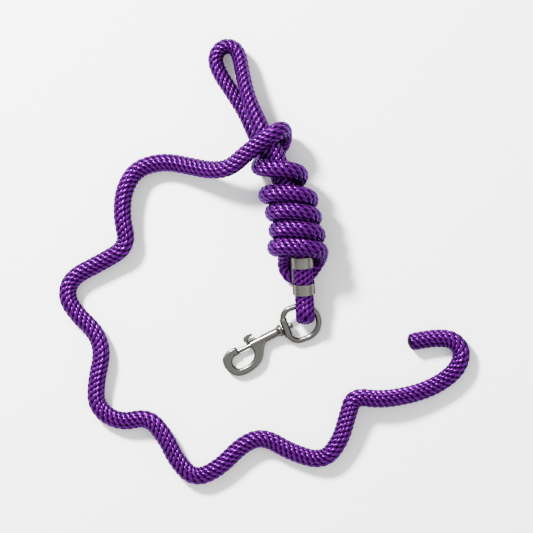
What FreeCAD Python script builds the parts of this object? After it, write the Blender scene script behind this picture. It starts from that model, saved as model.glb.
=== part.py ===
"""Training lead: a braided rope wound in a hank, with a hand loop, a sheet-metal rope clamp and a
swivel bolt snap.  Millimetres, +Z up, the fittings and the rope lying on the plane z = 0.

The origin is the bottom centre of the metal fittings' box.  The snap is drawn in its own frame, whose
origin is the swivel's pivot and whose X runs back along the barrel, from the hook to the eye.
"""
import FreeCAD
import Part
import math
import os
import Sketcher

os.makedirs("parts", exist_ok=True)
Vector = FreeCAD.Vector
doc = FreeCAD.newDocument("training_leash")

# ---------------------------------------------------------------- driving dimensions
DIMENSIONS = [
    ("rope_diameter", 16.0, "solid-braid rope, 5/8 inch"),
    ("rope_flat_width", 17.2, "width of the rope where the clamp squeezes it"),
    ("rope_flat_height", 10.2, "height of the rope where the clamp squeezes it"),
    ("bight_gap", 0.78, "room between the eye's wire and the rope folded round it"),
    ("hank_width", 54.0, "outside width of the wound hank"),
    ("hank_height", 52.0, "outside height of the wound hank"),
    ("hank_length", 81.0, "length of the five wraps"),
    ("hank_end_fillet", 8.0, "rounding at the first and last wrap"),
    ("fold_width", 16.8, "width of the rope where it is pressed flat under the clamp"),
    ("fold_height", 11.6, "height of the rope there"),
    ("hitch_half_width", 17.0, "centreline half width of the hitch ring"),
    ("hitch_heading", 32.4, "heading of the hitch ring's long axis, degrees"),
    ("pivot_height", 8.15, "height of the swivel's pivot above the ground"),
    ("snap_pitch", 4.3, "rise of the barrel towards the eye, degrees"),
    ("snap_yaw", 26.5, "heading of the barrel, degrees"),
    ("eye_yaw", 19.5, "heading of the eye, canted in its loose swivel, degrees"),
    ("eye_roll", 15.8, "roll of the eye about its own axis, degrees"),
    ("eye_wire_diameter", 5.2, "round wire of the eye"),
    ("eye_arc_radius", 16.0, "centreline radius of the eye's round end"),
    ("eye_arc_centre", 15.0, "pivot to the centre of the round end"),
    ("eye_corner_radius", 9.5, "centreline radius of the eye's two corners"),
    ("eye_bar_length", 17.0, "flat bar that the swivel passes through"),
    ("eye_bar_width", 6.4, "bar along the barrel's axis"),
    ("eye_bar_height", 6.8, "bar across the eye's plane"),
    ("eye_bore_diameter", 4.9, "swivel hole in the bar"),
    ("shank_diameter", 3.9, "swivel rivet's shank"),
    ("rivet_head_diameter", 5.6, "swivel rivet's head, inside the eye"),
    ("rivet_head_height", 2.8, "swivel rivet's head, inside the eye"),
    ("barrel_diameter", 7.9, "snap barrel"),
    ("barrel_length", 31.9, "snap barrel, front face to rear face"),
    ("barrel_rear", 4.2, "rear face of the barrel to the pivot"),
    ("barrel_bore", 4.9, "bore for the bolt and its spring"),
    ("barrel_bore_depth", 24.0, "depth of that bore from the front face"),
    ("flange_diameter", 11.4, "rear flange"),
    ("flange_length", 2.3, "rear flange"),
    ("flare_length", 2.4, "cone between the barrel and its flange"),
    ("socket_depth", 7.2, "blind hole that holds the swivel rivet's shank"),
    ("slot_width", 3.5, "slot for the thumb stud's post"),
    ("slot_length", 12.6, "slot, from the barrel's front face"),
    ("hook_thickness", 6.6, "cast hook across its plane"),
    ("hook_edge_round", 2.1, "rounding of the hook's edges"),
    ("bowl_radius", 6.2, "round far end of the hook's opening"),
    ("bowl_centre", 52.8, "pivot to the centre of that round end"),
    ("bowl_offset", 8.8, "barrel axis to the centre of that round end"),
    ("nose_gap", 49.3, "pivot to the hook's nose face"),
    ("nose_clearance", 0.15, "between the closed bolt and the nose"),
    ("bolt_diameter", 4.2, "exposed bolt"),
    ("piston_diameter", 4.78, "bolt's guided rear end"),
    ("piston_length", 7.0, "bolt's guided rear end"),
    ("post_diameter", 3.0, "thumb stud's post"),
    ("stud_width", 5.0, "thumb stud's finger pad"),
    ("spring_wire", 0.6, "bolt spring's wire"),
    ("spring_turns", 6.0, "bolt spring's turns"),
    ("clamp_sheet", 1.2, "sheet thickness of the clamp"),
    ("clamp_inner_width", 18.0, "clamp across the rope"),
    ("clamp_inner_height", 22.4, "clamp over the two stacked ropes"),
    ("clamp_corner_radius", 8.2, "inner corner radius of the clamp"),
    ("clamp_length", 35.4, "clamp along the rope"),
    ("clamp_band", 10.0, "each of the two bands along the rope"),
    ("clamp_gap", 1.6, "slit where a band's two ends face each other"),
    ("spine_width", 6.0, "strip that joins the two bands"),
    ("spine_lip", 0.9, "how far the strip's thickness reaches inside the clamp's inner face"),
]
sheet = doc.addObject("Spreadsheet::Sheet", "dims")
for row, (alias, value, note) in enumerate(DIMENSIONS, start=1):
    sheet.set(f"A{row}", alias)
    sheet.set(f"B{row}", str(value))
    sheet.setAlias(f"B{row}", alias)
    sheet.set(f"C{row}", note)
doc.recompute()


def size(alias):
    """A driving dimension's value."""
    return float(getattr(sheet, alias))


# ---------------------------------------------------------------- places
PIVOT = Vector(12.65, -12.54, size("pivot_height"))
ROPE_HEADING = 93.5  # degrees, the clamped rope's heading from the eye towards the hank
CLAMP_SLOPE = 15.0  # degrees, the clamped rope's climb over the fold
CLAMP_START = 12.0  # from the eye's wire to the clamp's lower end, along the rope's heading
CLAMP_CENTRE_HEIGHT = 4.77  # height of the clamp's axis over the wire at that end
EYE_BIGHT_ANGLE = 59.4  # degrees round the eye's arc, where the rope passes over the wire
BARREL_REAR = -size("barrel_rear")  # rear face of the barrel, on the snap's own X axis
BARREL_FRONT = BARREL_REAR - size("barrel_length")
PISTON_START = BARREL_FRONT + 1.5  # front of the bolt's guided end
STUD_X = -38.0  # the thumb stud stands on the bolt just ahead of the barrel
STUD_SEAT = 0.6  # bottom of the stud's hole, above the bolt's axis
PRESS_RELIEF = 0.2  # how much smaller the stud's peg is than its post, on the radius
CUT_REACH = 30.0  # how far a cutting outline reaches past the piece


def facing(base, yaw, pitch=0.0, roll=0.0):
    """A placement whose X axis has this heading and rises by this pitch."""
    return FreeCAD.Placement(base, FreeCAD.Rotation(yaw, -pitch, roll))


SNAP = facing(PIVOT, size("snap_yaw"), size("snap_pitch"))
EYE = facing(PIVOT, size("eye_yaw"), size("snap_pitch"), size("eye_roll"))


# ---------------------------------------------------------------- helpers
def named(item, label, placement=None):
    """Give a sub-part its label and place."""
    item.Label = label
    if placement is not None:
        item.Placement = placement
    return item


def bind(item, **links):
    """Bind an object's properties to cells or formulas of the sheet."""
    for prop, formula in links.items():
        item.setExpression(prop, formula)


def new_body(label):
    return named(doc.addObject("PartDesign::Body", label), label)


def sketch_on(body, name, role):
    """A new sketch on one of the body's own origin planes."""
    sketch = body.newObject("Sketcher::SketchObject", name)
    plane = [item for item in body.Origin.OriginFeatures if item.Role == role][0]
    sketch.AttachmentSupport = [(plane, "")]
    sketch.MapMode = "FlatFace"
    return sketch


def add_chain(sketch, edges):
    """Add edges end to end and tie their ends together."""
    first = None
    last = None
    for edge in edges:
        index = sketch.addGeometry(edge, False)
        if last is None:
            first = index
        else:
            sketch.addConstraint(Sketcher.Constraint("Coincident", last, 2, index, 1))
        last = index
    sketch.addConstraint(Sketcher.Constraint("Coincident", last, 2, first, 1))


def segment(x0, y0, x1, y1):
    return Part.LineSegment(Vector(x0, y0, 0), Vector(x1, y1, 0))


def polygon(sketch, corners):
    """A closed outline of straight edges."""
    closed = corners + corners[:1]
    for start, end in zip(closed, closed[1:]):
        sketch.addGeometry(segment(*start, *end), False)
    count = len(corners)
    for index in range(count):
        following = (index + 1) % count
        sketch.addConstraint(Sketcher.Constraint("Coincident", index, 2, following, 1))


def rectangle(sketch, left, right, low, high):
    """A closed rectangle, after whatever the sketch already holds."""
    first = len(sketch.Geometry)
    for edge in (segment(left, low, right, low), segment(right, low, right, high),
                 segment(right, high, left, high), segment(left, high, left, low)):
        sketch.addGeometry(edge, False)
    for index in range(4):
        sketch.addConstraint(Sketcher.Constraint("Coincident", first + index, 2, first + (index + 1) % 4, 1))


def circle(sketch, x, y, formula):
    """A circle whose diameter is bound to the sheet."""
    index = sketch.addGeometry(Part.Circle(Vector(x, y, 0), Vector(0, 0, 1), 1.0), False)
    diameter = sketch.addConstraint(Sketcher.Constraint("Diameter", index, 2.0))
    sketch.setExpression(f"Constraints[{diameter}]", formula)
    return index


def curve(points):
    """A smooth outline through a few points."""
    spline = Part.BSplineCurve()
    spline.interpolate([Vector(x, y, 0) for x, y in points])
    return spline


def rounded_path(points, radii=None):
    """Straight runs joined by tangent arcs, each as large as its runs allow unless a radius is given."""
    points = [Vector(*point) for point in points]
    radii = radii or {}
    edges = []
    used = []
    start = points[0]
    for index in range(1, len(points) - 1):
        before, corner, after = points[index - 1:index + 2]
        back = (before - corner).normalize()
        ahead = (after - corner).normalize()
        half_turn = (math.pi - back.getAngle(ahead)) / 2
        shorter = min((before - corner).Length, (after - corner).Length)
        radius = radii.get(index, 0.45 * shorter / math.tan(half_turn))
        trim = radius * math.tan(half_turn)
        enter = corner + back * trim
        leave = corner + ahead * trim
        inward = (back + ahead).normalize()
        middle = corner + inward * (radius / math.cos(half_turn) - radius)
        if (enter - start).Length > 1e-6:
            edges.append(Part.LineSegment(start, enter).toShape())
        edges.append(Part.Arc(enter, middle, leave).toShape())
        used.append(radius)
        start = leave
    edges.append(Part.LineSegment(start, points[-1]).toShape())
    return Part.Wire(edges), used


def swept(label, path, radii, section_wire, section_area, binormal=None):
    """A plain tube along a path, with its bend radii and its volume reported."""
    shell = Part.BRepOffsetAPI.MakePipeShell(path)
    if binormal is not None:
        shell.setBiNormalMode(binormal)
    shell.add(section_wire)
    shell.build()
    shell.makeSolid()
    item = doc.addObject("Part::Feature", label)
    item.Shape = shell.shape()
    item.Label = label
    ratio = item.Shape.Volume / (section_area * path.Length)
    bends = " ".join(f"{radius:.0f}" for radius in radii)
    print(f"{label}: length {path.Length:.0f}, volume ratio {ratio:.4f}, bend radii {bends}")
    return item


def round_tube(label, points, radii=None):
    """The rope's own round section along a path."""
    path, used = rounded_path(points, radii)
    radius = size("rope_diameter") / 2
    tangent = (Vector(*points[1]) - Vector(*points[0])).normalize()
    section = Part.Wire([Part.Circle(Vector(*points[0]), tangent, radius).toShape()])
    return swept(label, path, used, section, math.pi * radius ** 2)


# ---------------------------------------------------------------- snap body
def make_snap_body():
    """Cast barrel, rear flange and hook in one piece, bored for the bolt and for the swivel's shank."""
    body = new_body("snap_body")
    rear = BARREL_REAR
    front = BARREL_FRONT
    barrel = size("barrel_diameter") / 2
    flange = size("flange_diameter") / 2
    shoulder = rear - size("flange_length")
    neck = shoulder - size("flare_length")

    profile = sketch_on(body, "barrel_profile", "XY_Plane")
    outline = [
        (front, 0), (front, barrel - 0.3), (front + 0.3, barrel), (neck, barrel), (shoulder, flange - 0.5),
        (shoulder + 0.5, flange), (rear - 0.4, flange), (rear, flange - 0.4), (rear, 0),
    ]
    polygon(profile, outline)
    barrel_solid = body.newObject("PartDesign::Revolution", "barrel")
    barrel_solid.Profile = profile
    barrel_solid.ReferenceAxis = (profile, ["H_Axis"])
    barrel_solid.Angle = 360.0

    hook = sketch_on(body, "hook_outline", "XY_Plane")
    nose = -size("nose_gap")
    bowl_x = -size("bowl_centre")
    bowl_y = -size("bowl_offset")
    bowl = size("bowl_radius")
    outer = curve([
        (-18.5, -3.2), (-23.0, -4.6), (-27.0, -9.0), (-30.0, -13.6), (-34.6, -17.9), (-41.5, -20.9),
        (-50.0, -21.9), (-58.4, -20.6), (-64.2, -15.0), (-66.5, -6.8), (-64.8, 0.0), (-59.0, 3.9), (nose, 4.2),
    ])
    bowl_arc = Part.Arc(
        Vector(bowl_x, bowl_y + bowl, 0), Vector(bowl_x - bowl, bowl_y, 0), Vector(bowl_x, bowl_y - bowl, 0)
    )
    inner = curve([
        (bowl_x, bowl_y - bowl), (-48.5, -15.3), (-43.4, -14.4), (-39.2, -12.0), (-36.6, -8.4), (front, -4.6),
    ])
    inner_top = bowl_y + bowl
    add_chain(hook, [
        outer,
        segment(nose, 4.2, nose, inner_top),
        segment(nose, inner_top, bowl_x, inner_top),
        bowl_arc,
        inner,
        segment(front, -4.6, front, -1.0),
        segment(front, -1.0, -18.5, -1.0),
        segment(-18.5, -1.0, -18.5, -3.2),
    ])
    hook_solid = body.newObject("PartDesign::Pad", "hook")
    hook_solid.Profile = hook
    hook_solid.Midplane = True
    bind(hook_solid, Length="dims.hook_thickness")
    doc.recompute()

    half = size("hook_thickness") / 2
    rims = []
    for index, edge in enumerate(hook_solid.Shape.Edges, start=1):
        box = edge.BoundBox
        flat = box.ZLength < 1e-3 and abs(abs(box.Center.z) - half) < 1e-3
        if flat and box.XMin < nose + 1.0:
            rims.append(f"Edge{index}")
    rounds = body.newObject("PartDesign::Fillet", "hook_rounds")
    rounds.Base = (hook_solid, rims)
    bind(rounds, Radius="dims.hook_edge_round")
    doc.recompute()

    bore = sketch_on(body, "bore_profile", "XY_Plane")
    depth = front + size("barrel_bore_depth")
    polygon(bore, [(front - 1.0, 0), (front - 1.0, size("barrel_bore") / 2), (depth, size("barrel_bore") / 2),
                   (depth + 1.2, 0)])
    bore_cut = body.newObject("PartDesign::Groove", "bolt_bore")
    bore_cut.Profile = bore
    bore_cut.ReferenceAxis = (bore, ["H_Axis"])
    bore_cut.Angle = 360.0

    socket = sketch_on(body, "shank_profile", "XY_Plane")
    socket_end = rear - size("socket_depth")
    polygon(socket, [(socket_end, 0), (socket_end, size("shank_diameter") / 2),
                     (rear + 0.5, size("shank_diameter") / 2), (rear + 0.5, 0)])
    socket_cut = body.newObject("PartDesign::Groove", "shank_socket")
    socket_cut.Profile = socket
    socket_cut.ReferenceAxis = (socket, ["H_Axis"])
    socket_cut.Angle = 360.0

    slot = sketch_on(body, "slot_outline", "XZ_Plane")
    slot_half = size("slot_width") / 2
    slot_end = front + size("slot_length") - slot_half
    slot_edges = [
        segment(front - 1.0, -slot_half, slot_end, -slot_half),
        Part.Arc(Vector(slot_end, -slot_half, 0), Vector(slot_end + slot_half, 0, 0), Vector(slot_end, slot_half, 0)),
        segment(slot_end, slot_half, front - 1.0, slot_half),
        segment(front - 1.0, slot_half, front - 1.0, -slot_half),
    ]
    add_chain(slot, slot_edges)
    slot_cut = body.newObject("PartDesign::Pocket", "stud_slot")
    slot_cut.Profile = slot
    slot_cut.Reversed = False
    slot_cut.Length = 6.0
    doc.recompute()
    if slot_cut.Shape.Volume > socket_cut.Shape.Volume - 5.0 or slot_on_wrong_side(slot_cut.Shape, front):
        slot_cut.Reversed = True
    body.Placement = SNAP
    return body


def slot_on_wrong_side(shape, front):
    """True while the slot is not on the +Y side of the barrel."""
    probe = Vector(front + 4.0, (size("barrel_bore") / 2 + size("barrel_diameter") / 2) / 2, 0)
    return shape.isInside(probe, 1e-4, True)


def make_bolt():
    """Sprung bolt: exposed pin, drilled for the thumb stud, with a guided piston behind it."""
    tip = -size("nose_gap") + size("nose_clearance")
    pin = doc.addObject("Part::Cylinder", "bolt_pin")
    bind(pin, Radius="dims.bolt_diameter / 2")
    pin.Height = PISTON_START - tip + 1.0
    pin.Placement = FreeCAD.Placement(Vector(tip, 0, 0), FreeCAD.Rotation(Vector(0, 1, 0), 90))
    piston = doc.addObject("Part::Cylinder", "bolt_piston")
    bind(piston, Radius="dims.piston_diameter / 2", Height="dims.piston_length")
    piston.Placement = FreeCAD.Placement(Vector(PISTON_START, 0, 0), FreeCAD.Rotation(Vector(0, 1, 0), 90))
    whole = doc.addObject("Part::Fuse", "bolt_whole")
    whole.Base = pin
    whole.Tool = piston
    hole = doc.addObject("Part::Cylinder", "bolt_stud_hole")
    bind(hole, Radius=f"dims.post_diameter / 2 - {PRESS_RELIEF}")
    hole.Height = 2.0
    hole.Placement = FreeCAD.Placement(Vector(STUD_X, STUD_SEAT, 0), FreeCAD.Rotation(Vector(1, 0, 0), -90))
    bolt = doc.addObject("Part::Cut", "snap_bolt")
    bolt.Base = whole
    bolt.Tool = hole
    return named(bolt, "snap_bolt", SNAP)


def make_thumb_stud():
    """Post pressed into the bolt, with a finger pad that leans back over the barrel."""
    peg = doc.addObject("Part::Cylinder", "stud_peg")
    bind(peg, Radius=f"dims.post_diameter / 2 - {PRESS_RELIEF}")
    peg.Height = 3.0
    peg.Placement = FreeCAD.Placement(Vector(STUD_X, STUD_SEAT, 0), FreeCAD.Rotation(Vector(1, 0, 0), -90))
    post = doc.addObject("Part::Cylinder", "stud_post")
    bind(post, Radius="dims.post_diameter / 2")
    post.Height = 4.4
    post.Placement = FreeCAD.Placement(Vector(STUD_X, 2.1, 0), FreeCAD.Rotation(Vector(1, 0, 0), -90))
    stem = doc.addObject("Part::Fuse", "stud_stem")
    stem.Base = peg
    stem.Tool = post

    lever = doc.addObject("PartDesign::Body", "stud_lever")
    outline = sketch_on(lever, "stud_outline", "XY_Plane")
    upper = curve([(-39.8, 5.0), (-40.0, 7.6), (-37.8, 9.6), (-34.2, 10.0), (-30.8, 9.1)])
    lower = curve([(-30.8, 7.7), (-33.0, 7.0), (-35.2, 6.4), (-36.2, 5.0)])
    add_chain(outline, [upper, segment(-30.8, 9.1, -30.8, 7.7), lower, segment(-36.2, 5.0, -39.8, 5.0)])
    pad = lever.newObject("PartDesign::Pad", "stud_pad")
    pad.Profile = outline
    pad.Midplane = True
    bind(pad, Length="dims.stud_width")
    doc.recompute()
    stud = doc.addObject("Part::Fuse", "thumb_stud")
    stud.Base = stem
    stud.Tool = lever
    return named(stud, "thumb_stud", SNAP)


def make_rivet():
    """Swivel rivet: shank pressed into the barrel, running through the bar, headed inside the eye."""
    head_start = size("eye_bar_width") / 2 + 0.5
    shank_start = BARREL_REAR - size("socket_depth") + 0.2
    turn = FreeCAD.Rotation(Vector(0, 1, 0), 90)
    shank = doc.addObject("Part::Cylinder", "rivet_shank")
    bind(shank, Radius="dims.shank_diameter / 2")
    shank.Height = head_start - shank_start + 0.5
    shank.Placement = FreeCAD.Placement(Vector(shank_start, 0, 0), turn)
    head = doc.addObject("Part::Cylinder", "rivet_head")
    bind(head, Radius="dims.rivet_head_diameter / 2", Height="dims.rivet_head_height")
    head.Placement = FreeCAD.Placement(Vector(head_start, 0, 0), turn)
    whole = doc.addObject("Part::Fuse", "rivet_whole")
    whole.Base = shank
    whole.Tool = head
    doc.recompute()
    rims = []
    far = head_start + size("rivet_head_height")
    for index, edge in enumerate(whole.Shape.Edges, start=1):
        box = edge.BoundBox
        if abs(box.Center.x - far) < 1e-3 and box.XLength < 1e-3:
            rims.append((index, 1.7, 1.7))
    rivet = doc.addObject("Part::Fillet", "swivel_rivet")
    rivet.Base = whole
    rivet.Edges = rims
    return named(rivet, "swivel_rivet", SNAP)


def make_spring():
    """Compression spring behind the bolt's piston."""
    start = PISTON_START + size("piston_length") + size("spring_wire") / 2
    end = BARREL_FRONT + size("barrel_bore_depth") - size("spring_wire") / 2
    coil_radius = (size("barrel_bore") - size("spring_wire")) / 2 - 0.12
    pitch = (end - start - 0.1) / size("spring_turns")
    helix = Part.makeLongHelix(pitch, end - start - 0.1, coil_radius)
    section = Part.Wire([Part.Circle(Vector(coil_radius, 0, 0), Vector(0, 1, 0), size("spring_wire") / 2).toShape()])
    coil = Part.Wire(helix.Edges).makePipeShell([section], True, True)
    coil.Placement = FreeCAD.Placement(Vector(start + 0.05, 0, 0), FreeCAD.Rotation(Vector(0, 1, 0), 90))
    item = doc.addObject("Part::Feature", "bolt_spring")
    item.Shape = coil
    item.Placement = SNAP.multiply(coil.Placement)
    return named(item, "bolt_spring")


# ---------------------------------------------------------------- swivel eye
def make_eye():
    """D-shaped eye: a flat bar bored for the rivet, and a round wire bent to a half circle."""
    body = new_body("swivel_eye")
    radius = size("eye_arc_radius")
    centre = size("eye_arc_centre")
    corner = size("eye_corner_radius")
    diagonal = corner * (1 - math.cos(math.radians(45)))
    spine = sketch_on(body, "eye_spine", "XY_Plane")
    inner = radius - corner
    add_chain(spine, [
        Part.Arc(Vector(centre, -radius, 0), Vector(centre + radius, 0, 0), Vector(centre, radius, 0)),
        segment(centre, radius, corner, radius),
        Part.Arc(Vector(corner, radius, 0), Vector(diagonal, radius - diagonal, 0), Vector(0, inner, 0)),
        segment(0, inner, 0, -inner),
        Part.Arc(Vector(0, -inner, 0), Vector(diagonal, diagonal - radius, 0), Vector(corner, -radius, 0)),
        segment(corner, -radius, centre, -radius),
    ])
    section = sketch_on(body, "eye_section", "YZ_Plane")
    section.AttachmentOffset = FreeCAD.Placement(Vector(0, 0, centre), FreeCAD.Rotation())
    circle(section, -radius, 0, "dims.eye_wire_diameter")
    ring = body.newObject("PartDesign::AdditivePipe", "eye_wire")
    ring.Profile = section
    ring.Spine = (spine, [f"Edge{index}" for index in range(1, 7)])

    bar = sketch_on(body, "bar_section", "XZ_Plane")
    wide = size("eye_bar_width") / 2
    high = size("eye_bar_height") / 2
    bevel = 1.3
    polygon(bar, [(wide, high - bevel), (wide - bevel, high), (bevel - wide, high), (-wide, high - bevel),
                  (-wide, bevel - high), (bevel - wide, -high), (wide - bevel, -high), (wide, bevel - high)])
    bar_pad = body.newObject("PartDesign::Pad", "eye_bar")
    bar_pad.Profile = bar
    bar_pad.Midplane = True
    bind(bar_pad, Length="dims.eye_bar_length")

    bore = sketch_on(body, "swivel_bore", "YZ_Plane")
    circle(bore, 0, 0, "dims.eye_bore_diameter")
    bore_cut = body.newObject("PartDesign::Pocket", "swivel_hole")
    bore_cut.Profile = bore
    bore_cut.Midplane = True
    bore_cut.Length = 12.0
    body.Placement = EYE
    return body


# ---------------------------------------------------------------- rope clamp and clamped rope
WIRE = EYE.multVec(Vector(
    size("eye_arc_centre") + size("eye_arc_radius") * math.cos(math.radians(EYE_BIGHT_ANGLE)),
    size("eye_arc_radius") * math.sin(math.radians(EYE_BIGHT_ANGLE)),
    0,
))
ALONG = Vector(math.cos(math.radians(ROPE_HEADING)), math.sin(math.radians(ROPE_HEADING)), 0)
ACROSS = Vector(ALONG.y, -ALONG.x, 0)


def beside_wire(along, height):
    """A point in the clamped rope's upright plane, measured from the eye's wire."""
    return tuple(WIRE + ALONG * along + Vector(0, 0, height))


def make_clamp():
    """Sheet clip: two bands joined by a spine, bent round both ropes, open in a slit at the right."""
    body = new_body("rope_clamp")
    sheet_thickness = size("clamp_sheet")
    gap = size("clamp_gap") / 2

    def outline(offset):
        half_width = size("clamp_inner_width") / 2 + offset
        half_height = size("clamp_inner_height") / 2 + offset
        corner = size("clamp_corner_radius") + offset
        across = half_width - corner
        upright = half_height - corner
        cut = corner * math.sqrt(0.5)
        return [
            segment(half_width, gap, half_width, upright),
            Part.Arc(Vector(half_width, upright, 0), Vector(across + cut, upright + cut, 0),
                     Vector(across, half_height, 0)),
            segment(across, half_height, -across, half_height),
            Part.Arc(Vector(-across, half_height, 0), Vector(-across - cut, upright + cut, 0),
                     Vector(-half_width, upright, 0)),
            segment(-half_width, upright, -half_width, -upright),
            Part.Arc(Vector(-half_width, -upright, 0), Vector(-across - cut, -upright - cut, 0),
                     Vector(-across, -half_height, 0)),
            segment(-across, -half_height, across, -half_height),
            Part.Arc(Vector(across, -half_height, 0), Vector(across + cut, -upright - cut, 0),
                     Vector(half_width, -upright, 0)),
            segment(half_width, -upright, half_width, -gap),
        ]

    section = sketch_on(body, "clamp_section", "XY_Plane")
    outer = outline(sheet_thickness)
    inner = outline(0.0)
    for edge in outer + inner:
        section.addGeometry(edge, False)
    inner_x = size("clamp_inner_width") / 2
    section.addGeometry(segment(inner_x + sheet_thickness, gap, inner_x, gap), False)
    section.addGeometry(segment(inner_x + sheet_thickness, -gap, inner_x, -gap), False)
    pad = body.newObject("PartDesign::Pad", "clamp_tube")
    pad.Profile = section
    bind(pad, Length="dims.clamp_length")

    window = sketch_on(body, "window_outline", "XZ_Plane")
    left = -size("clamp_inner_width") / 2 + size("spine_lip")
    low = size("clamp_band")
    high = size("clamp_length") - size("clamp_band")
    rectangle(window, left, CUT_REACH, low, high)
    window_cut = body.newObject("PartDesign::Pocket", "clamp_window")
    window_cut.Profile = window
    window_cut.Midplane = True
    window_cut.Length = 2 * CUT_REACH

    side = sketch_on(body, "spine_sides", "YZ_Plane")
    spine = size("spine_width") / 2
    rectangle(side, spine, CUT_REACH, low, high)
    rectangle(side, -CUT_REACH, -spine, low, high)
    side_cut = body.newObject("PartDesign::Pocket", "spine_cut")
    side_cut.Profile = side
    side_cut.Midplane = True
    side_cut.Length = 2 * CUT_REACH

    along_clamp = (ALONG * math.cos(math.radians(CLAMP_SLOPE))
                   + Vector(0, 0, math.sin(math.radians(CLAMP_SLOPE))))
    upright = ACROSS.cross(along_clamp) * -1
    if upright.z < 0:
        upright = upright * -1
    turn = FreeCAD.Rotation(ACROSS, upright, along_clamp, "ZXY")
    base = Vector(*beside_wire(CLAMP_START, CLAMP_CENTRE_HEIGHT))
    body.Placement = FreeCAD.Placement(base, turn)
    return body


def make_snap_loop():
    """The squeezed rope end: up through the clamp, round the eye's wire and back to its cut end."""
    half_height = size("rope_flat_height") / 2
    reach = size("eye_wire_diameter") / 2 + size("bight_gap") + half_height
    leg = 5.4 / math.cos(math.radians(CLAMP_SLOPE))
    climb = math.tan(math.radians(CLAMP_SLOPE))

    def axis_height(along):
        return CLAMP_CENTRE_HEIGHT + (along - CLAMP_START) * climb

    points = [
        beside_wire(46.0, axis_height(46.0) - leg),
        beside_wire(14.0, axis_height(14.0) - leg),
        beside_wire(3.0, -reach),
        beside_wire(-4.0 - reach, -reach),
        beside_wire(-4.0 - reach, reach),
        beside_wire(4.0, reach),
        beside_wire(50.0, axis_height(50.0) + leg),
    ]
    path, used = rounded_path(points, {3: reach - 1e-3, 4: reach - 1e-3})
    tangent = (Vector(*points[1]) - Vector(*points[0])).normalize()
    ellipse = Part.Ellipse(Vector(0, 0, 0), size("rope_flat_width") / 2, half_height)
    section = Part.Wire([ellipse.toShape()])
    turn = FreeCAD.Rotation(ACROSS, tangent.cross(ACROSS), tangent, "ZXY")
    section.Placement = FreeCAD.Placement(Vector(*points[0]), turn)
    area = math.pi * size("rope_flat_width") / 2 * half_height
    return swept("rope_snap_loop", path, used, section, area, ACROSS)


# ---------------------------------------------------------------- hank, hitch, hand loop and tail
HANK_START = Vector(24.1, 58.0, 0)  # middle of the wrap nearest the snap
HANK_END = Vector(6.3, 137.0, 0)  # middle of the wrap nearest the hand loop
HITCH_CENTRE = Vector(-3.9, 152.6, size("hank_height") / 2)

FOLD = [
    (11.8, 60.0, 6.2), (12.4, 46.0, 6.0), (17.8, 37.5, 5.9), (28.3, 34.2, 5.9), (37.3, 41.5, 5.9),
    (42.8, 50.0, 6.2), (44.3, 60.0, 7.0),
]

HAND_LOOP = [
    (-4.2, 156.0, 35.5), (-12.2, 173.0, 33.5), (-17.7, 186.0, 31.0), (-22.7, 201.0, 27.5), (-26.8, 218.5, 21.6),
    (-29.7, 236.0, 16.5), (-34.7, 244.5, 14.5), (-44.2, 245.5, 13.5), (-51.0, 235.5, 13.5), (-47.2, 220.0, 14.5),
    (-37.7, 204.5, 16.5), (-25.7, 185.5, 17.5), (-18.7, 171.0, 18.0), (-10.7, 156.0, 19.5),
]

TAIL = [
    (6.3, 167.5, 43.5), (-20.2, 149.0, 42.0), (-38.2, 132.5, 35.0), (-56.2, 131.0, 26.0), (-76.2, 135.5, 16.5),
    (-99.2, 140.0, 10.0), (-124.2, 133.5, 10.0), (-135.7, 114.0, 15.0), (-137.7, 89.0, 16.5), (-131.7, 62.5, 12.0),
    (-155.2, 48.0, 8.5), (-184.2, 33.5, 8.0), (-189.2, 15.5, 8.0), (-178.7, -0.5, 8.0), (-161.7, -16.0, 9.0),
    (-155.2, -35.0, 10.0), (-161.2, -61.0, 9.0), (-161.7, -86.0, 8.0), (-139.2, -100.0, 8.0),
    (-113.7, -93.5, 11.0), (-98.2, -111.5, 11.5), (-87.7, -134.5, 9.0), (-71.2, -151.5, 8.0),
    (-48.7, -141.5, 8.0), (-26.7, -118.5, 9.5), (-7.2, -112.0, 10.0), (16.8, -126.5, 9.5), (46.8, -135.5, 8.5),
    (62.3, -116.5, 10.0), (69.3, -91.0, 14.0), (74.3, -74.5, 17.0), (100.8, -79.0, 15.0), (142.3, -70.5, 9.0),
    (170.3, -52.0, 8.0), (175.3, -30.0, 8.0), (155.8, -19.0, 8.0), (123.8, -26.5, 8.0),
]


def make_hank():
    """Outer shape of the five wraps and the two rope legs inside them."""
    body = new_body("rope_hank")
    outline = sketch_on(body, "hank_outline", "XZ_Plane")
    index = outline.addGeometry(
        Part.Ellipse(Vector(0, 0, 0), size("hank_width") / 2, size("hank_height") / 2), False
    )
    outline.addConstraint(Sketcher.Constraint("Block", index))
    pad = body.newObject("PartDesign::Pad", "hank_pad")
    pad.Profile = outline
    pad.Midplane = True
    bind(pad, Length="dims.hank_length")
    doc.recompute()
    rims = [f"Edge{number}" for number, edge in enumerate(pad.Shape.Edges, start=1) if edge.BoundBox.YLength < 1e-3]
    rounds = body.newObject("PartDesign::Fillet", "hank_rounds")
    rounds.Base = (pad, rims)
    bind(rounds, Radius="dims.hank_end_fillet")
    axis = HANK_END - HANK_START
    lean = math.degrees(math.atan2(axis.y, axis.x)) - 90.0
    middle = (HANK_START + HANK_END) * 0.5
    middle.z = size("hank_height") / 2
    body.Placement = FreeCAD.Placement(middle, FreeCAD.Rotation(Vector(0, 0, 1), lean))
    return body


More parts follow.
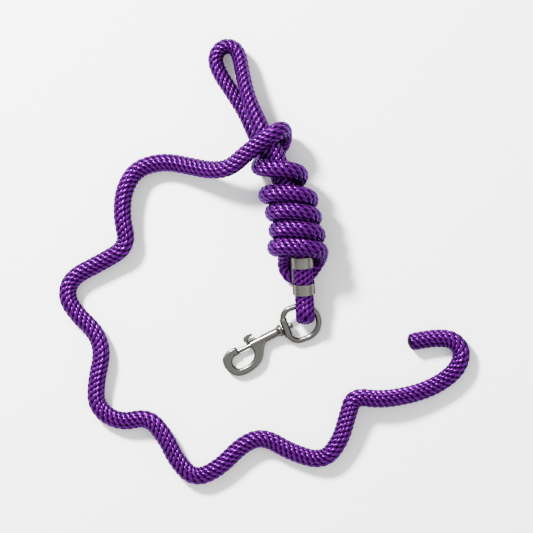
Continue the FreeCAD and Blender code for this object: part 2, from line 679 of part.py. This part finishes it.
def make_fold():
    """The bight where the rope leaves the hank's core, pressed flat beneath the clamp."""
    path, used = rounded_path(FOLD)
    half_width = size("fold_width") / 2
    half_height = size("fold_height") / 2
    section = Part.Wire([Part.Ellipse(Vector(0, 0, 0), half_width, half_height).toShape()])
    start = Vector(*FOLD[0])
    tangent = (Vector(*FOLD[1]) - start).normalize()
    level = Vector(0, 0, 1).cross(tangent).normalize()
    turn = FreeCAD.Rotation(level, tangent.cross(level), tangent, "ZXY")
    section.Placement = FreeCAD.Placement(start, turn)
    return swept("rope_fold", path, used, section, math.pi * half_width * half_height, Vector(0, 0, 1))


def make_hitch():
    """The single turn that locks the hank round the hand loop's two legs."""
    radius = size("rope_diameter") / 2
    half_height = size("hank_height") / 2 - radius
    heading = math.radians(size("hitch_heading"))
    lateral = Vector(math.cos(heading), math.sin(heading), 0)
    normal = lateral.cross(Vector(0, 0, 1))
    top = HITCH_CENTRE + Vector(0, 0, half_height)
    ellipse = Part.Ellipse(top, HITCH_CENTRE + lateral * size("hitch_half_width"), HITCH_CENTRE)
    path = Part.Wire([ellipse.toShape()])
    start = ellipse.value(0)
    section = Part.Wire([Part.Circle(start, ellipse.tangent(0)[0], radius).toShape()])
    area = math.pi * radius ** 2
    return swept("rope_hitch", path, [], section, area, normal)


# ---------------------------------------------------------------- build, check and write
SUBPARTS = [
    make_snap_body(), make_bolt(), make_thumb_stud(), make_rivet(), make_spring(), make_eye(), make_clamp(),
    make_snap_loop(), make_fold(), make_hank(), make_hitch(), round_tube("rope_hand_loop", HAND_LOOP),
    round_tube("rope_tail", TAIL),
]
doc.recompute()

for item in doc.Objects:
    problems = [state for state in item.State if state in ("Invalid", "Error")]
    if problems:
        raise RuntimeError(f"{item.Name} failed: {problems}")

FITTINGS = ["snap_body", "snap_bolt", "thumb_stud", "swivel_rivet", "bolt_spring", "swivel_eye", "rope_clamp"]
fittings_box = FreeCAD.BoundBox()
whole_box = FreeCAD.BoundBox()
for item in SUBPARTS:
    shape = item.Shape
    if shape.isNull() or not shape.isValid() or not shape.Solids:
        raise RuntimeError(f"{item.Label} has no valid solid")
    whole_box.add(shape.BoundBox)
    if item.Label in FITTINGS:
        fittings_box.add(shape.BoundBox)
    print(f"{item.Label}: solids {len(shape.Solids)}, volume {shape.Volume:.1f}, lowest {shape.BoundBox.ZMin:.2f}")
    shape.exportStep(f"parts/{item.Label}.step")
print("fittings box", fittings_box)
print("whole box", whole_box)
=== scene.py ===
"""Training lead: one braided rope, wound in a hank, and its swivel bolt snap.  Metres, +Z up."""
import math
import bpy
import numpy as np
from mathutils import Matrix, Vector


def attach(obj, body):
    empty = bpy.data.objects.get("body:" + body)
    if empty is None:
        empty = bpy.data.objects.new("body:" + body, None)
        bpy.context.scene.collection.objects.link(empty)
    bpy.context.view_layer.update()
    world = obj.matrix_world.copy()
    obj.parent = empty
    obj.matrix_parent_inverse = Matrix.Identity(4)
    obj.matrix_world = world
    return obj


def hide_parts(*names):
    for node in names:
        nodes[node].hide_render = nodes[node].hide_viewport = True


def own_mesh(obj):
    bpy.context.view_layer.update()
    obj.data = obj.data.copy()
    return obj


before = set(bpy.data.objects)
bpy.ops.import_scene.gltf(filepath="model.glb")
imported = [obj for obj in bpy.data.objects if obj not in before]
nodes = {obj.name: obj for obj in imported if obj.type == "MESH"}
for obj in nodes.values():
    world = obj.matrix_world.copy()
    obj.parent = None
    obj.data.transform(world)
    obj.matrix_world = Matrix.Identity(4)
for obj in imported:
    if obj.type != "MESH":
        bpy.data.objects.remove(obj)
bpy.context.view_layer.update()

MM = 0.001

# ---------------------------------------------------------------- sizes of the rope and its braid
ROPE_RADIUS = 8.3 * MM  # over the stitches' crowns
COLUMNS = 12  # stitch columns round the rope, an even number
STITCH_PITCH = 5.2 * MM  # distance along the rope from one stitch of a column to the next
STITCH_SLANT = math.radians(34.0)  # how far a stitch leans from the rope's own line
STITCH_HALF_LENGTH = 3.7 * MM
STITCH_HALF_WIDTH = 1.5 * MM
STITCH_BLUNTNESS = 2.4  # 2 makes an oval stitch, more makes its ends blunter
STITCH_HEIGHT = 1.3 * MM
FIBRE_STRETCH = 0.06  # fibres are drawn out along the strands by the inverse of this

# the melted ends of the rope
SEAL_LENGTH = 4.5 * MM
SEAL_FLAT = 1.0 * MM  # the outermost part, where no stitch is left
SEAL_SHRINK = 0.6 * MM
SEAL_ROUNDING = 0.85
TIP_CROWN = 0.4 * MM  # how far the middle of the cut stands out

# how the rope is flattened: its height and its width, as parts of the round rope's
CLAMP_SQUEEZE = (0.635, 1.075)
FOLD_SQUEEZE = (0.72, 1.05)
LOOP_SQUEEZE = (1.1, 0.86)
LOOP_FADE = 30 * MM

# how fine the meshes are
RING_STEP = 0.9 * MM
RING_POINTS = 90
METAL_VOXEL = 0.26 * MM
STUD_VOXEL = 0.22 * MM

# ---------------------------------------------------------------- the rope's route
CLAMPED_END = [
    (26.9, 53.5, 21.9), (28.8, 21.5, 13.3), (29.5, 10.6, 5.4), (30.4, -4.6, 5.4), (30.4, -4.6, 21.8),
    (29.4, 11.6, 21.8), (26.8, 54.5, 33.4), (23.8, 73.0, 32.0),
]
CORE_UP = [(20.9, 93.2, 31.0), (14.4, 113.2, 31.5), (7.4, 133.2, 33.0)]
HAND_LOOP = [
    (2.4, 148.2, 35.0), (-4.2, 156.0, 35.5), (-12.2, 173.0, 33.5), (-17.7, 186.0, 31.0), (-22.7, 201.0, 27.5),
    (-26.8, 218.5, 21.6), (-29.7, 236.0, 16.5), (-34.7, 244.4, 14.5), (-45.6, 245.4, 13.5),
    (-53.2, 234.5, 13.5), (-48.4, 220.0, 14.5), (-37.7, 204.5, 16.5), (-25.7, 185.5, 17.5),
    (-18.7, 171.0, 18.0), (-10.7, 156.0, 19.0), (-1.1, 143.2, 20.0),
]
CORE_DOWN = [(8.4, 121.2, 20.5), (15.4, 97.2, 20.5), (19.4, 77.2, 20.5), (15.9, 60.7, 18.0)]
FOLD = [(12.2, 46.7, 7.0), (16.4, 36.0, 6.0), (28.8, 32.8, 6.0), (37.6, 44.5, 6.4), (43.0, 53.0, 8.0)]
HITCH = [(-12.6, 135.2, 9.4), (-2.6, 144.2, 8.2), (8.9, 154.7, 8.6), (10.9, 165.7, 14.0), (8.3, 168.5, 44.0)]
TAIL = [
    (-20.2, 149.0, 42.0), (-38.2, 132.5, 35.0), (-56.2, 131.0, 26.0), (-76.2, 135.5, 16.5),
    (-99.2, 140.0, 10.0), (-124.2, 133.5, 9.5), (-135.7, 114.0, 15.0), (-137.7, 89.0, 16.5), (-131.7, 62.5, 12.0),
    (-155.2, 48.0, 8.5), (-184.2, 33.5, 8.0), (-189.2, 15.5, 8.0), (-178.7, -0.5, 8.0), (-161.7, -16.0, 9.0),
    (-155.2, -35.0, 10.0), (-161.2, -61.0, 9.0), (-161.7, -86.0, 8.0), (-139.2, -100.0, 8.0),
    (-113.7, -93.5, 11.0), (-98.2, -111.5, 11.5), (-87.7, -134.5, 9.0), (-71.2, -151.5, 8.0),
    (-48.7, -141.5, 8.0), (-26.7, -118.5, 9.5), (-7.2, -112.0, 10.0), (16.8, -126.5, 9.5), (46.8, -135.5, 8.5),
    (62.3, -116.5, 10.0), (69.3, -91.0, 14.0), (74.3, -74.5, 17.0), (100.8, -79.0, 15.0), (142.3, -70.5, 9.0),
    (170.3, -52.0, 8.0), (175.3, -30.0, 8.0), (155.8, -19.0, 8.0), (124.4, -26.5, 8.0),
]
# the five wraps from the snap's end: middle x, middle y, half width of the rope's centreline
WRAPS = [(23.3, 61.5, 20.1), (22.5, 77.1, 18.1), (19.2, 93.2, 18.1), (14.7, 109.3, 19.4), (7.5, 131.4, 17.4)]
WRAP_LOW = 8.0
WRAP_HIGH = 44.0
WRAP_TILT = 1.6  # how far the front of a wrap falls to the right
BACK_SAG = 6.0  # how much nearer the snap the back of a wrap lies
BACK_TILT = 3.0  # how far the back of a wrap falls to the right
CURVE_FINENESS = 24  # points of the smooth curve per control point
SMOOTHING_PASSES = 6
CLAMP_HEADING = math.radians(93.5)  # the clamped rope's direction, from +X


def wrap_points():
    """Each wrap goes over the front from right to left, then behind and up to the next wrap's right end."""
    points = []
    for index, (middle, level, half) in enumerate(WRAPS):
        points.append((middle + half, level - WRAP_TILT, WRAP_HIGH))
        points.append((middle - half, level + WRAP_TILT, WRAP_HIGH))
        if index + 1 < len(WRAPS):
            next_middle, next_level, next_half = WRAPS[index + 1]
            points.append((middle - half, level - BACK_SAG + BACK_TILT, WRAP_LOW))
            points.append((next_middle + next_half, next_level - BACK_SAG - BACK_TILT, WRAP_LOW))
    return points


def distances(points):
    """Distance of each point from the first, measured along the line."""
    return np.concatenate([[0.0], np.cumsum(np.linalg.norm(np.diff(points, axis=0), axis=1))])


def route_line(points):
    """Even points along the smooth curve that has these control points, and their distances along it."""
    data = bpy.data.curves.new("rope_route", "CURVE")
    data.dimensions = "3D"
    data.resolution_u = CURVE_FINENESS
    spline = data.splines.new("NURBS")
    spline.points.add(len(points) - 1)
    for control, point in zip(spline.points, points):
        control.co = (point[0] * MM, point[1] * MM, point[2] * MM, 1.0)
    spline.order_u = 3
    spline.use_endpoint_u = True
    holder = bpy.data.objects.new("rope_route", data)
    bpy.context.scene.collection.objects.link(holder)
    bpy.context.view_layer.update()
    mesh = bpy.data.meshes.new_from_object(holder)
    curve = np.array([vertex.co[:] for vertex in mesh.vertices])
    bpy.data.objects.remove(holder)
    bpy.data.meshes.remove(mesh)
    bpy.data.curves.remove(data)
    steps = np.linalg.norm(np.diff(curve, axis=0), axis=1)
    curve = curve[np.concatenate([[True], steps > 1e-7])]
    travelled = distances(curve)
    even = np.linspace(0.0, travelled[-1], int(travelled[-1] / RING_STEP) + 1)
    return np.stack([np.interp(even, travelled, curve[:, axis]) for axis in range(3)], axis=1), even


def smooth_line(points, passes):
    """Takes the small corners out of a fine line."""
    for _ in range(passes):
        points[1:-1] = 0.25 * points[:-2] + 0.5 * points[1:-1] + 0.25 * points[2:]
    return points


def ramp(value, low, high):
    """0 below low, 1 above high, smooth between."""
    t = np.clip((value - low) / (high - low), 0.0, 1.0)
    return t * t * (3 - 2 * t)


def unit(vectors):
    return vectors / np.maximum(np.linalg.norm(vectors, axis=1), 1e-9)[:, None]


def without_tangent(vectors, tangents):
    """The part of each vector that is square to the rope."""
    return vectors - tangents * np.sum(vectors * tangents, axis=1)[:, None]


def frames_along(points):
    """Tangents and a twist-free pair of normals at each point."""
    tangents = unit(np.gradient(points, axis=0))
    normals = np.zeros_like(points)
    first = np.cross(tangents[0], (0.0, 0.0, 1.0))
    normals[0] = first / np.linalg.norm(first)
    for index in range(1, len(points)):
        carried = normals[index - 1] - tangents[index] * np.dot(normals[index - 1], tangents[index])
        normals[index] = carried / np.linalg.norm(carried)
    return tangents, normals, np.cross(tangents, normals)


# ---------------------------------------------------------------- the rope's shape
def stitch_profile(angle, along):
    """Height of the braid, 0 in the gaps and 1 on a stitch's crown: slanted ovals, laid like bricks."""
    column_angle = 2 * math.pi / COLUMNS
    lean, rise = math.sin(STITCH_SLANT), math.cos(STITCH_SLANT)
    nearest = np.floor(angle / column_angle)
    height = np.zeros_like(angle)
    for column in (nearest - 1, nearest, nearest + 1):
        sideways = ROPE_RADIUS * (angle - (column + 0.5) * column_angle)
        behind = (along - 0.5 * STITCH_PITCH * column) % STITCH_PITCH
        for pitches in (1.5, 0.5, -0.5):
            ahead = behind - pitches * STITCH_PITCH
            length_wise = (sideways * lean + ahead * rise) / STITCH_HALF_LENGTH
            across = (sideways * rise - ahead * lean) / STITCH_HALF_WIDTH
            height = np.maximum(height, 1.0 - np.abs(length_wise) ** STITCH_BLUNTNESS - across ** 2)
    return np.sqrt(height)


def sealed(radius, along):
    """The braid's radius with both ends melted round, and how far each ring is melted."""
    ends = np.minimum(along, along[-1] - along)
    seal = (1.0 - ramp(ends, SEAL_FLAT, SEAL_LENGTH))[:, None]
    inward = (1.0 - ends / SEAL_LENGTH).clip(0.0, 1.0)
    dome = np.sqrt(1.0 - inward ** 2 * SEAL_ROUNDING)[:, None]
    return (radius * (1 - seal) + (ROPE_RADIUS - SEAL_SHRINK) * seal) * dome, seal


def squeezed(offset, tangents, squeezes):
    """Flattens the rope: each squeeze is a weight per ring, the flattened direction, and the two scales."""
    for weight, direction, (flat, wide) in squeezes:
        level = unit(without_tangent(direction, tangents))
        part = np.sum(offset * level[:, None, :], axis=2)[:, :, None] * level[:, None, :]
        thin = (1 + (flat - 1) * weight)[:, None, None]
        broad = (1 + (wide - 1) * weight)[:, None, None]
        offset = part * thin + (offset - part) * broad
    return offset


def tube_faces(rings, ring):
    """Quads between the rings, and a fan of triangles on each end round the two last vertices."""
    index = np.arange(rings * ring).reshape(rings, ring)
    right = np.roll(index, -1, axis=1)
    faces = np.stack([index[:-1], right[:-1], right[1:], index[1:]], axis=2).reshape(-1, 4).tolist()
    start_tip, end_tip = rings * ring, rings * ring + 1
    faces += [(int(right[0, k]), int(index[0, k]), start_tip) for k in range(ring)]
    faces += [(int(index[-1, k]), int(right[-1, k]), end_tip) for k in range(ring)]
    return faces


def rope_mesh(name, points, along, squeezes):
    """A braided tube along a line, with the attributes that its material reads."""
    tangents, normals, binormals = frames_along(points)
    strand = np.broadcast_to(2 * math.pi * np.arange(RING_POINTS) / RING_POINTS, (len(points), RING_POINTS))
    angle = strand + along[:, None] * math.tan(STITCH_SLANT) / ROPE_RADIUS
    height = stitch_profile(angle, along[:, None])
    radius, seal = sealed(ROPE_RADIUS - STITCH_HEIGHT + STITCH_HEIGHT * height, along)
    offset = (radius * np.cos(angle))[:, :, None] * normals[:, None, :]
    offset += (radius * np.sin(angle))[:, :, None] * binormals[:, None, :]
    vertices = (points[:, None, :] + squeezed(offset, tangents, squeezes)).reshape(-1, 3)
    tips = (points[0] - tangents[0] * TIP_CROWN, points[-1] + tangents[-1] * TIP_CROWN)
    mesh = bpy.data.meshes.new(name)
    mesh.from_pydata(np.vstack([vertices, *tips]).tolist(), [], tube_faces(len(points), RING_POINTS))
    mesh.update()
    # crown is the stitch height, 0 over the melted ends; the material paints shade by it into the braid's gaps,
    # and the melted ends take the same dark colour
    crown = np.concatenate([(height * (1 - seal)).ravel(), [0.0, 0.0]])
    shade = mesh.attributes.new("crown", "FLOAT", "POINT")
    shade.data.foreach_set("value", crown.astype(np.float32))
    length_wise = np.broadcast_to(along[:, None] * FIBRE_STRETCH, angle.shape)
    thread = np.stack([ROPE_RADIUS * np.cos(strand), ROPE_RADIUS * np.sin(strand), length_wise], axis=2)
    thread = np.vstack([thread.reshape(-1, 3), np.zeros((2, 3))])
    fibres = mesh.attributes.new("thread", "FLOAT_VECTOR", "POINT")
    fibres.data.foreach_set("vector", thread.astype(np.float32).ravel())
    mesh.polygons.foreach_set("use_smooth", [True] * len(mesh.polygons))
    item = bpy.data.objects.new(name, mesh)
    bpy.context.scene.collection.objects.link(item)
    return item


# ---------------------------------------------------------------- materials
def new_material(name, color, metallic, roughness, specular_tint=(1.0, 1.0, 1.0)):
    material = bpy.data.materials.new(name)
    material.use_nodes = True
    shader = material.node_tree.nodes["Principled BSDF"]
    shader.inputs["Base Color"].default_value = (*color, 1.0)
    shader.inputs["Metallic"].default_value = metallic
    shader.inputs["Roughness"].default_value = roughness
    shader.inputs["Specular Tint"].default_value = (*specular_tint, 1.0)
    return material, shader


def add_noise(tree, vector, scale, detail):
    noise = tree.nodes.new("ShaderNodeTexNoise")
    noise.inputs["Scale"].default_value = scale
    noise.inputs["Detail"].default_value = detail
    tree.links.new(vector, noise.inputs["Vector"])
    return noise.outputs["Fac"]


def add_bump(tree, height, shader, strength, distance):
    bump = tree.nodes.new("ShaderNodeBump")
    bump.inputs["Strength"].default_value = strength
    bump.inputs["Distance"].default_value = distance
    tree.links.new(height, bump.inputs["Height"])
    tree.links.new(bump.outputs["Normal"], shader.inputs["Normal"])


def add_attribute(tree, name):
    attribute = tree.nodes.new("ShaderNodeAttribute")
    attribute.attribute_name = name
    return attribute


def rope_material(gap_shade_color=(0.0015, 0.0001, 0.01), crown_color=(0.098, 0.002, 0.168)):
    """Glossy filament yarn with fine fibres along the strands; painted shade darkens the braid's gaps below the
    crowns' colour.
    """
    material, shader = new_material("rope_purple", crown_color, 0.75, 0.27, specular_tint=(0.3, 0.04, 0.42))
    shader.inputs["Specular IOR Level"].default_value = 0.25
    tree = material.node_tree
    # painted shade: the ramp runs from the dark gap colour in the braid's gaps up to the rope's own colour on the
    # crowns
    gap_shade_ramp = tree.nodes.new("ShaderNodeValToRGB")
    for stop, position, color in zip(gap_shade_ramp.color_ramp.elements, (0.1, 0.95), (gap_shade_color, crown_color)):
        stop.position = position
        stop.color = (*color, 1)
    tree.links.new(add_attribute(tree, "crown").outputs["Fac"], gap_shade_ramp.inputs["Fac"])
    fibres = add_noise(tree, add_attribute(tree, "thread").outputs["Vector"], scale=2300.0, detail=2.0)
    mix = tree.nodes.new("ShaderNodeMix")
    mix.data_type = "RGBA"
    mix.blend_type = "MULTIPLY"
    mix.inputs["Factor"].default_value = 0.45
    tree.links.new(gap_shade_ramp.outputs["Color"], mix.inputs["A"])
    tree.links.new(fibres, mix.inputs["B"])
    tree.links.new(mix.outputs["Result"], shader.inputs["Base Color"])
    add_bump(tree, fibres, shader, strength=0.2, distance=0.2 * MM)
    return material


def metal_material(name, color, roughness, grain):
    """Satin metal with a faint cast grain and darker edges."""
    material, shader = new_material(name, color, 1.0, roughness, specular_tint=(0.06, 0.057, 0.055))
    tree = material.node_tree
    place = tree.nodes.new("ShaderNodeTexCoord")
    cast_grain = add_noise(tree, place.outputs["Object"], scale=260.0, detail=4.0)
    add_bump(tree, cast_grain, shader, strength=grain, distance=0.3 * MM)
    return material


purple = rope_material()
nickel = metal_material("satin_nickel", (0.095, 0.092, 0.086), roughness=0.22, grain=0.1)
clamp_steel = metal_material("clamp_steel", (0.125, 0.12, 0.108), roughness=0.36, grain=0.1)
spring_steel = metal_material("spring_steel", (0.2, 0.2, 0.2), roughness=0.3, grain=0.0)

# ---------------------------------------------------------------- the rope
route = CLAMPED_END + CORE_UP + HAND_LOOP + CORE_DOWN + FOLD + wrap_points() + HITCH + TAIL
line, along = route_line(route)
line = smooth_line(line, SMOOTHING_PASSES)


def reached(point):
    """Distance along the rope to where it passes a point of its route."""
    return along[np.argmin(np.linalg.norm(line - np.array(point) * MM, axis=1))]


clamp_end = reached(CLAMPED_END[-1])
clamp_weight = 1.0 - ramp(along, clamp_end - 22 * MM, clamp_end - 6 * MM)
rope_across = np.array((math.sin(CLAMP_HEADING), -math.cos(CLAMP_HEADING), 0.0))
clamp_direction = np.cross(unit(np.gradient(line, axis=0)), rope_across)
fold_start, fold_end = reached(FOLD[0]), reached(FOLD[-1])
fold_weight = ramp(along, fold_start - 14 * MM, fold_start + 2 * MM)
fold_weight *= 1.0 - ramp(along, fold_end - 12 * MM, fold_end + 6 * MM)
loop_start, loop_end = reached(HAND_LOOP[2]), reached(HAND_LOOP[-2])
loop_weight = ramp(along, loop_start, loop_start + LOOP_FADE) * (1.0 - ramp(along, loop_end - LOOP_FADE, loop_end))
upright = np.broadcast_to(np.array((0.0, 0.0, 1.0)), line.shape)
squeezes = [(clamp_weight, clamp_direction, CLAMP_SQUEEZE), (fold_weight, upright, FOLD_SQUEEZE),
            (loop_weight, upright, LOOP_SQUEEZE)]

rope = rope_mesh("rope", line, along, squeezes)
rope.data.materials.append(purple)
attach(rope, "rope_and_clamp")
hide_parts("rope_snap_loop", "rope_fold", "rope_hank", "rope_hitch", "rope_hand_loop", "rope_tail")


# ---------------------------------------------------------------- metal
def cad_copy(node, name, body, material):
    """A new piece with a copy of a CAD node's mesh, which it stands for."""
    item = bpy.data.objects.new(name, nodes[node].data.copy())
    bpy.context.scene.collection.objects.link(item)
    item.data.materials.clear()
    item.data.materials.append(material)
    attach(item, body)
    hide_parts(node)
    return item


def soften(item, material, voxel, passes, regain):
    """Gives a piece cast, rounded edges; regain makes up for what the smoothing takes off."""
    item.modifiers.new("even", "REMESH").voxel_size = voxel
    smooth = item.modifiers.new("soft", "SMOOTH")
    smooth.factor = 0.5
    smooth.iterations = passes
    swell = item.modifiers.new("regain", "DISPLACE")
    swell.mid_level = 0.0
    swell.strength = regain
    bpy.context.view_layer.update()
    mesh = bpy.data.meshes.new_from_object(item.evaluated_get(bpy.context.evaluated_depsgraph_get()))
    item.modifiers.clear()
    item.data = mesh
    mesh.polygons.foreach_set("use_smooth", [True] * len(mesh.polygons))
    mesh.materials.clear()
    mesh.materials.append(material)


for node, name, body, voxel, passes, regain in (
        ("snap_body", "cast_snap", "snap", METAL_VOXEL, 5, 0.12 * MM),
        ("swivel_eye", "formed_eye", "eye", METAL_VOXEL, 5, 0.1 * MM),
        ("thumb_stud", "cast_stud", "bolt", STUD_VOXEL, 4, 0.08 * MM)):
    soften(cad_copy(node, name, body, nickel), nickel, voxel, passes, regain)
for node, material in (("snap_bolt", nickel), ("swivel_rivet", nickel), ("rope_clamp", clamp_steel)):
    nodes[node].data.materials.clear()
    nodes[node].data.materials.append(material)
    bevel = nodes[node].modifiers.new("edge", "BEVEL")
    bevel.width = 0.25 * MM
    bevel.segments = 2
    bevel.limit_method = "ANGLE"

# the spring that shortens between the bolt's piston and the closed end of the barrel's bore gets a copied mesh of
# its own
spring = cad_copy("bolt_spring", "coil_spring", "snap", spring_steel)
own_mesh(spring)

# ---------------------------------------------------------------- floor, lights and camera
FLOOR_REACH = 6.0
FLOOR_DROP = 0.3 * MM
AIM = (0, 0.03, 0)  # the middle of the lead
CAMERA_HEIGHT = 2.6
FRAME_WIDTH = 0.49  # what the camera sees at the floor

corners = [(x * FLOOR_REACH, y * FLOOR_REACH, 0) for x, y in ((-1, -1), (1, -1), (1, 1), (-1, 1))]
floor_mesh = bpy.data.meshes.new("floor")
floor_mesh.from_pydata(corners, [], [(0, 1, 2, 3)])
floor = bpy.data.objects.new("floor", floor_mesh)
floor.location.z = -FLOOR_DROP
bpy.context.scene.collection.objects.link(floor)
floor_mesh.materials.append(new_material("pale_floor", (0.93, 0.93, 0.94), 0.0, 0.8)[0])


def area_light(name, place, width, power, color=(1, 1, 1)):
    """A square lamp that points at the middle of the lead."""
    data = bpy.data.lights.new(name, "AREA")
    data.size = width
    data.energy = power
    data.color = color
    item = bpy.data.objects.new(name, data)
    item.location = place
    item.rotation_euler = (Vector(AIM) - Vector(place)).to_track_quat("-Z", "Y").to_euler()
    bpy.context.scene.collection.objects.link(item)


def studio_world(horizon_strength, overhead_strength):
    """White light that grows from the horizon to straight above."""
    world = bpy.data.worlds.new("studio")
    world.use_nodes = True
    tree = world.node_tree
    direction = tree.nodes.new("ShaderNodeTexCoord")
    split = tree.nodes.new("ShaderNodeSeparateXYZ")
    lift = tree.nodes.new("ShaderNodeMapRange")
    lift.interpolation_type = "SMOOTHSTEP"
    lift.inputs["From Min"].default_value = 0.1
    lift.inputs["From Max"].default_value = 0.95
    lift.inputs["To Min"].default_value = horizon_strength
    lift.inputs["To Max"].default_value = overhead_strength
    background = tree.nodes["Background"]
    background.inputs["Color"].default_value = (1.0, 1.0, 1.0, 1.0)
    tree.links.new(direction.outputs["Generated"], split.inputs["Vector"])
    tree.links.new(split.outputs["Z"], lift.inputs["Value"])
    tree.links.new(lift.outputs["Result"], background.inputs["Strength"])
    return world


area_light("key", (-1.1, 1.3, 1.5), width=0.35, power=350.0, color=(1.0, 0.98, 0.95))
area_light("fill", (1.4, -0.9, 1.6), width=1.6, power=10.0)
bpy.context.scene.world = studio_world(horizon_strength=0.4, overhead_strength=1.9)

camera_data = bpy.data.cameras.new("camera")
camera_data.sensor_width = 36.0
camera_data.lens = camera_data.sensor_width * CAMERA_HEIGHT / FRAME_WIDTH
camera_data.clip_end = 20.0
camera = bpy.data.objects.new("camera", camera_data)
camera.location = (-0.0052, 0.0435, CAMERA_HEIGHT)
bpy.context.scene.collection.objects.link(camera)
bpy.context.scene.camera = camera
